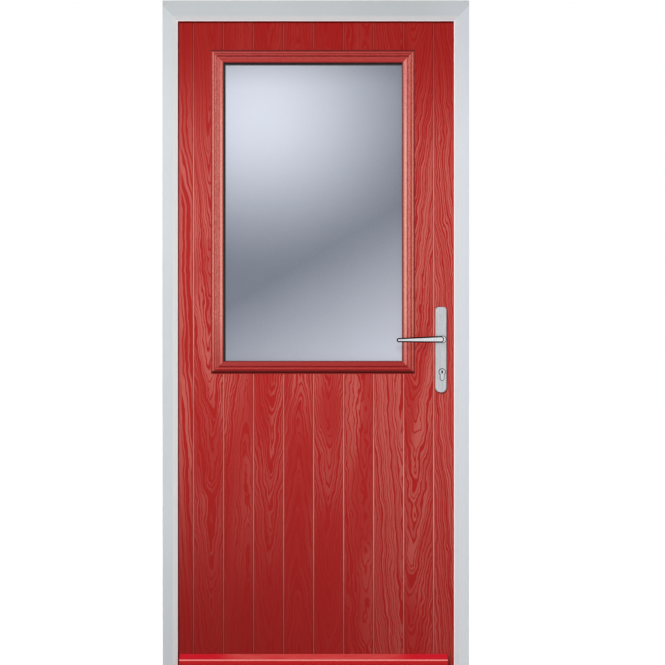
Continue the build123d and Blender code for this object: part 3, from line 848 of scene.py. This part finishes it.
def cylinder_gap_shadow(shader, x, z):
    """Painted shadow of the gap round the lock cylinder: its round top and the tail under it."""
    centre = (plug_low + plug_high) / 2
    side = shader.less(x, centre.x)
    down = shader.less(centre.z, z)
    level = shader.most(shader.less(down, cylinder_drop), 0.0)
    above = shader.least(down, 0.0)
    tail = shader.gap(shader.length(side, level, above), cylinder_tail_radius)
    round_top = shader.length(side, down)
    outside = shader.step(round_top, cylinder_radius, cylinder_radius + cylinder_gap_width)
    ring = shader.gap(round_top, cylinder_radius + cylinder_gap_width / 2)
    tail_line = shader.times(shader.fade(tail, *cylinder_line), outside)
    return shader.most(tail_line, shader.fade(ring, *cylinder_line))


def keyway_shade(shader, x, z):
    """Painted shade in the upright slot for the key in the plug's face."""
    centre = (plug_low + plug_high) / 2
    side = shader.fade(shader.gap(x, centre.x), *keyway_side)
    end = shader.fade(shader.gap(z, centre.z), *keyway_end)
    return shader.times(side, end)


def rubber():
    """Black gasket rubber."""
    shader = Shader("black_rubber")
    speck = shader.noise(*shader.position(), rubber_speck)
    colour = shader.mix(speck, black, rubber_grey)
    return shader.finish(colour, speck, roughness=(0.6, 0.8), specular=0.25, distance=0.0001, strength=0.5)


def sealant():
    """Red-brown sealant with dark specks, and painted shade in the upper joint."""
    shader = Shader("red_sealant")
    x, y, z = shader.position()
    speck = shader.noise(x, y, z, sealant_speck)
    middle = (cassette_low.z + cassette_high.z) / 2
    reach = (cassette_high.z - cassette_low.z) / 2
    level = shader.step(shader.less(z, middle), reach - sealant_joint, reach)
    # Painted shade in the upper joint, and dark specks
    dirt_and_shade = shader.sum(shader.times(level, joint_shade), shader.times(speck, dirt_in_specks))
    colour = shader.mix(dirt_and_shade, sealant_red, sealant_dirt_and_shade)
    return shader.finish(colour, speck, roughness=(0.5, 0.7), specular=0.2, distance=0.0002, strength=0.4)


def foam():
    """Closed-cell foam of the leaf's core."""
    shader = Shader("core_foam")
    cell = shader.noise(*shader.position(), foam_cell, detail=3.0)
    colour = shader.mix(cell, foam_dark, foam_light)
    return shader.finish(colour, cell, roughness=(0.8, 0.95), specular=0.5, distance=0.0004, strength=0.6)


def painted_pane_reflection(shader, x, y, z):
    """Painted reflection on the pane: a bloom at the upper left, a rise to the lower right and painted shade
    at its head.
    """
    right = shader.less(x, pane_low.x)
    down = shader.less(pane_high.z, z)
    bloom_x = shader.times(shader.less(right, bloom_right), 1 / bloom_width)
    bloom_z = shader.times(shader.less(down, bloom_down), 1 / bloom_height)
    bloom = shader.fade(shader.length(bloom_x, bloom_z), 0.0, 1.0)
    slope = shader.sum(shader.times(right, pane_slope_right), shader.times(down, pane_slope_down))
    rise = shader.most(shader.less(slope, pane_rise_start), 0.0)
    haze = shader.noise(x, y, z, glass_haze)
    tone = shader.sum(pane_base, shader.times(bloom, bloom_strength), shader.times(rise, pane_rise),
                      shader.times(haze, pane_haze))
    return shader.times(tone, shader.step(down, *pane_head, pane_head_shade, 1.0))


def glass():
    """Obscure grey pane with a painted reflection, and a painted shadow line at its top and its hinge side.
    """
    shader = Shader("satin_grey_pane")
    x, y, z = shader.position()
    # Painted reflection over the pane
    tone = painted_pane_reflection(shader, x, y, z)
    green, blue = (shader.sum(shader.times(tone, share), lift) for share, lift in (pane_green, pane_blue))
    from_top = shader.less(cassette_high.z - cassette_face, z)
    from_left = shader.less(x, cassette_low.x + cassette_face)
    # Painted shadow of the glazing frame's lip along the top and the hinge side
    line = shader.most(shader.fade(from_top, *pane_top_shadow), shader.fade(from_left, *pane_side_shadow))
    colour = shader.mix(line, shader.vector(tone, green, blue), black)
    speck = shader.noise(x, y, z, glass_speck)
    return shader.finish(colour, speck, roughness=(0.22, 0.30), specular=0.4, distance=0.00002, strength=0.3)


def dress(material, *names):
    """Give one material to several nodes of the frame."""
    for name in names:
        mesh = nodes[name].data
        mesh.materials.clear()
        mesh.materials.append(material)


def dress_all():
    steel = metal("brushed_steel", *steel_metal)
    hinge = metal("silver_hinge", *hinge_metal)
    dress(pale_frame(), "hinge_jamb", "lock_jamb", "head", "head_extension")
    dress(metal("mill_aluminium", *sill_metal), "threshold")
    dress(rubber(), "frame_seal", "outer_glazing_seal", "inner_glazing_seal")
    dress(red_skin(), "outer_skin", "inner_skin")
    dress(red_cassette(), "outer_cassette", "inner_cassette")
    dress(red_edge(), "hinge_stile", "lock_stile", "bottom_rail", "top_rail")
    dress(foam(), "core")
    dress(red_bar(), "weather_bar")
    dress(glass(), "outer_pane", "inner_pane")
    dress(steel, "spacer_bar", "lock_faceplate", "lock_case", "lock_bolts", "lock_keeps", "spindle")
    dress(metal("satin_plate", *plate_metal, cylinder_gap_shadow), "outer_backplate", "inner_backplate")
    dress(metal("polished_lever", *lever_metal, dark_reflection_rim=True), "outer_lever", "inner_lever")
    dress(metal("satin_nickel", *cylinder_metal), "cylinder_body")
    dress(metal("plug_face", *plug_metal, keyway_shade), "outer_key_plug", "inner_key_plug")
    for place in ("lower", "middle", "upper"):
        dress(hinge, place + "_hinge_frame_flag", place + "_hinge_leaf_flag")
    dress(hinge, "hinge_pins")


def join(mesh, ring, following):
    """Faces between two closed rings with as many points each."""
    for step in range(len(ring)):
        other = (step + 1) % len(ring)
        mesh.faces.new((ring[step], ring[other], following[other], following[step]))


def add_piece(name, mesh, material, body):
    """Make a piece of a built mesh, and return its data."""
    data = bpy.data.meshes.new(name)
    mesh.to_mesh(data)
    mesh.free()
    data.materials.append(material)
    piece = bpy.data.objects.new(name, data)
    bpy.context.scene.collection.objects.link(piece)
    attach(piece, body)
    return data


def seal_strip(name, low, high, front, back, material):
    """Thin strip of sealant round the outside of an upright rectangle, with a softened edge."""
    mesh = bmesh.new()
    section = ((0.0, back), (seal_width, back), (seal_width, (front + back) / 2),
               (seal_width * seal_flat, front), (0.0, front))
    rings = []
    for grow, depth in section:
        corners = ((low.x - grow, low.z - grow), (high.x + grow, low.z - grow),
                   (high.x + grow, high.z + grow), (low.x - grow, high.z + grow))
        rings.append([mesh.verts.new((x, depth, z)) for x, z in corners])
    for ring, following in zip(rings, rings[1:] + rings[:1]):
        join(mesh, ring, following)
    bmesh.ops.recalc_face_normals(mesh, faces=mesh.faces)
    add_piece(name, mesh, material, "leaf")


def make_cassette_seals():
    """Sealant round each glazing frame where it meets the skin, dark to stand partly for the shadow in that
    joint.
    """
    seal = sealant()
    outer_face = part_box("outer_skin")[0].y
    seal_strip("outer_cassette_sealant", cassette_low, cassette_high,
               outer_face - seal_height, outer_face, seal)
    inner_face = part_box("inner_skin")[1].y
    inner_low, inner_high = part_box("inner_cassette")
    seal_strip("inner_cassette_sealant", inner_low, inner_high,
               inner_face + seal_height, inner_face, seal)


def screw_head(mesh, radius):
    """Round head of a screw, open in its middle, whose edges are returned."""
    rings = []
    for share, rise in screw_profile:
        ring = []
        for step in range(screw_segments):
            angle = 2 * math.pi * step / screw_segments
            reach = radius * share
            point = (reach * math.cos(angle), reach * math.sin(angle), rise * screw_stand)
            ring.append(mesh.verts.new(point))
        rings.append(ring)
    for ring, following in zip(rings, rings[1:]):
        join(mesh, ring, following)
    return [edge for edge in mesh.edges if edge.verts[0] in rings[-1] and edge.verts[1] in rings[-1]]


def cross_slot(mesh, radius, rim):
    """Cross-shaped recess in a screw's head, with the flat face round it."""
    arm = radius * slot_arm
    half = radius * slot_half
    outline = ((arm, -half), (arm, half), (half, half), (half, arm), (-half, arm), (-half, half),
               (-arm, half), (-arm, -half), (-half, -half), (-half, -arm), (half, -arm), (half, -half))
    mouth, floor = ([mesh.verts.new((x, y, depth)) for x, y in outline]
                    for depth in (screw_profile[-1][1] * screw_stand, -slot_depth * screw_stand))
    edges = [mesh.edges.new((start, end)) for start, end in zip(mouth, mouth[1:] + mouth[:1])]
    bmesh.ops.triangle_fill(mesh, edges=edges + rim, use_beauty=True)
    join(mesh, mouth, floor)
    mesh.faces.new(floor)


def screw(name, place, towards, radius, material, body):
    """Cross-slot screw head, standing a little proud of a face that looks along an axis."""
    mesh = bmesh.new()
    rim = screw_head(mesh, radius)
    cross_slot(mesh, radius, rim)
    bmesh.ops.recalc_face_normals(mesh, faces=mesh.faces)
    turn = Vector(towards).to_track_quat("Z", "X").to_matrix().to_4x4()
    mesh.transform(Matrix.Translation(place) @ turn)
    data = add_piece(name, mesh, material, body)
    for face in data.polygons:
        face.use_smooth = len(face.vertices) == 4


def plate_screws(steel):
    """Two screws in the inner handle plate."""
    low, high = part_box("inner_backplate")
    middle = (low.x + high.x) / 2
    face = low.y + plate_thickness
    for name, z in (("lower", low.z + plate_screw_from_foot), ("upper", high.z - plate_screw_from_top)):
        screw(name + "_plate_screw", (middle, face, z), (0, 1, 0), plate_screw_radius, steel,
              "leaf")


def hinge_screws(steel):
    """Two screws in each half of each hinge."""
    for name in ("lower", "middle", "upper"):
        for side, inset in (("frame", frame_flag_screw_inset), ("leaf", leaf_flag_screw_inset)):
            low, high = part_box(name + "_hinge_" + side + "_flag")
            middle = (low.z + high.z) / 2
            back = low.y if side == "frame" else leaf_back
            for place, z in (("low", middle - flag_screw_reach), ("high", middle + flag_screw_reach)):
                screw(name + "_" + side + "_flag_screw_" + place, (low.x + inset, back + flag_thickness, z),
                      (0, 1, 0), screw_radius, steel, side)


def lock_screws(steel):
    """Screws in the lock's faceplate, and one at each end of each keep."""
    low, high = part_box("lock_faceplate")
    middle = (low.y + high.y) / 2
    for number, share in enumerate(faceplate_screw_shares):
        place = (high.x, middle, low.z + share * (high.z - low.z))
        screw("faceplate_screw_" + str(number), place, (1, 0, 0), screw_radius, steel, "leaf")
    keep_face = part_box("lock_keeps")[0].x
    for number, (bottom, top) in enumerate(keep_spans):
        for place, z in (("low", bottom + keep_screw_inset), ("high", top - keep_screw_inset)):
            screw("keep_" + str(number) + "_screw_" + place, (keep_face, middle, z), (-1, 0, 0), screw_radius,
                  steel, "frame")


def make_screws():
    steel = metal("screw_steel", *screw_metal)
    plate_screws(steel)
    hinge_screws(steel)
    lock_screws(steel)


def make_floor():
    """Pale floor that takes the object's shadow and looks white where light falls on it."""
    mesh = bpy.data.meshes.new("floor")
    corners = [(-1, -1), (1, -1), (1, 1), (-1, 1)]
    mesh.from_pydata([(x * floor_reach, y * floor_reach, 0) for x, y in corners], [], [(0, 1, 2, 3)])
    floor = bpy.data.objects.new("floor", mesh)
    bpy.context.scene.collection.objects.link(floor)
    shader = Shader("pale_floor")
    x, y = shader.position()[:2]
    far = shader.step(shader.length(x, y), *floor_far)
    path = shader.add("ShaderNodeLightPath")
    glossy = path.outputs["Is Glossy Ray"]
    near = shader.times(glossy, shader.rest(far))
    seen = shader.most(path.outputs["Is Camera Ray"], shader.times(glossy, far))
    seen = shader.most(seen, path.outputs["Is Transmission Ray"])
    shader.set("Base Color", shader.mix(near, floor_grey, floor_mirrored))
    shader.set("Roughness", 0.9)
    shader.set("Specular IOR Level", 0.0)
    shader.set("Emission Color", white)
    shader.set("Emission Strength", shader.times(seen, floor_glow))
    mesh.materials.append(shader.material)


def make_world():
    """Soft even light, plain white to the camera and in low reflections, and darker in those from above."""
    world = bpy.data.worlds.new("studio")
    bpy.context.scene.world = world
    world.use_nodes = True
    sky = Tree(world.node_tree)
    path = sky.add("ShaderNodeLightPath")
    glossy = path.outputs["Is Glossy Ray"]
    seen = sky.most(path.outputs["Is Camera Ray"], glossy)
    seen = sky.most(seen, path.outputs["Is Transmission Ray"])
    height = sky.parts(sky.add("ShaderNodeTexCoord").outputs["Generated"])[2]
    dark = sky.times(sky.step(height, *ceiling_rise), glossy)
    background = world.node_tree.nodes["Background"]
    sky.put(sky.mix(dark, white, ceiling_grey), background.inputs["Color"])
    sky.put(sky.step(seen, 0.0, 1.0, ambient, 1.0), background.inputs["Strength"])


def lamp(kind, name, place, target, energy, **values):
    """One lamp aimed at a point."""
    data = bpy.data.lights.new(name, kind)
    data.energy = energy
    for key, value in values.items():
        setattr(data, key, value)
    light = bpy.data.objects.new(name, data)
    light.location = place
    light.rotation_euler = (Vector(target) - Vector(place)).to_track_quat("-Z", "Y").to_euler()
    bpy.context.scene.collection.objects.link(light)
    return light


def make_lights():
    """A spot from the upper left, an even light from the front and one from behind."""
    place = Vector(key_target) + key_distance * Vector(key_direction).normalized()
    key = lamp("SPOT", "key", place, key_target, key_power,
               spot_size=math.radians(key_cone), spot_blend=1.0, shadow_soft_size=key_size)
    blockers = bpy.data.collections.new("key_blockers")
    for name, node in nodes.items():
        if name not in ("outer_lever", "spindle"):
            blockers.objects.link(node)
    key.light_linking.blocker_collection = blockers
    lamp("SUN", "front", front_place, (0, 0, 0), front_strength, angle=math.radians(front_angle))
    lamp("SUN", "back", back_place, (0, 0, 0), back_strength, angle=math.radians(back_angle))


def make_camera():
    """Long lens straight in front, framed as in the photograph."""
    data = bpy.data.cameras.new("camera")
    data.sensor_width = sensor_width
    data.lens = sensor_width * (camera_distance + jamb_low.y) / picture_height
    data.clip_end = view_end
    camera = bpy.data.objects.new("camera", data)
    camera.location = (camera_x, -camera_distance, camera_z)
    camera.rotation_euler = (math.radians(90), 0, 0)
    bpy.context.scene.collection.objects.link(camera)
    bpy.context.scene.camera = camera


dress_all()
make_cassette_seals()
make_screws()
make_floor()
make_world()
make_lights()
make_camera()
bpy.context.scene.view_settings.view_transform = "Standard"
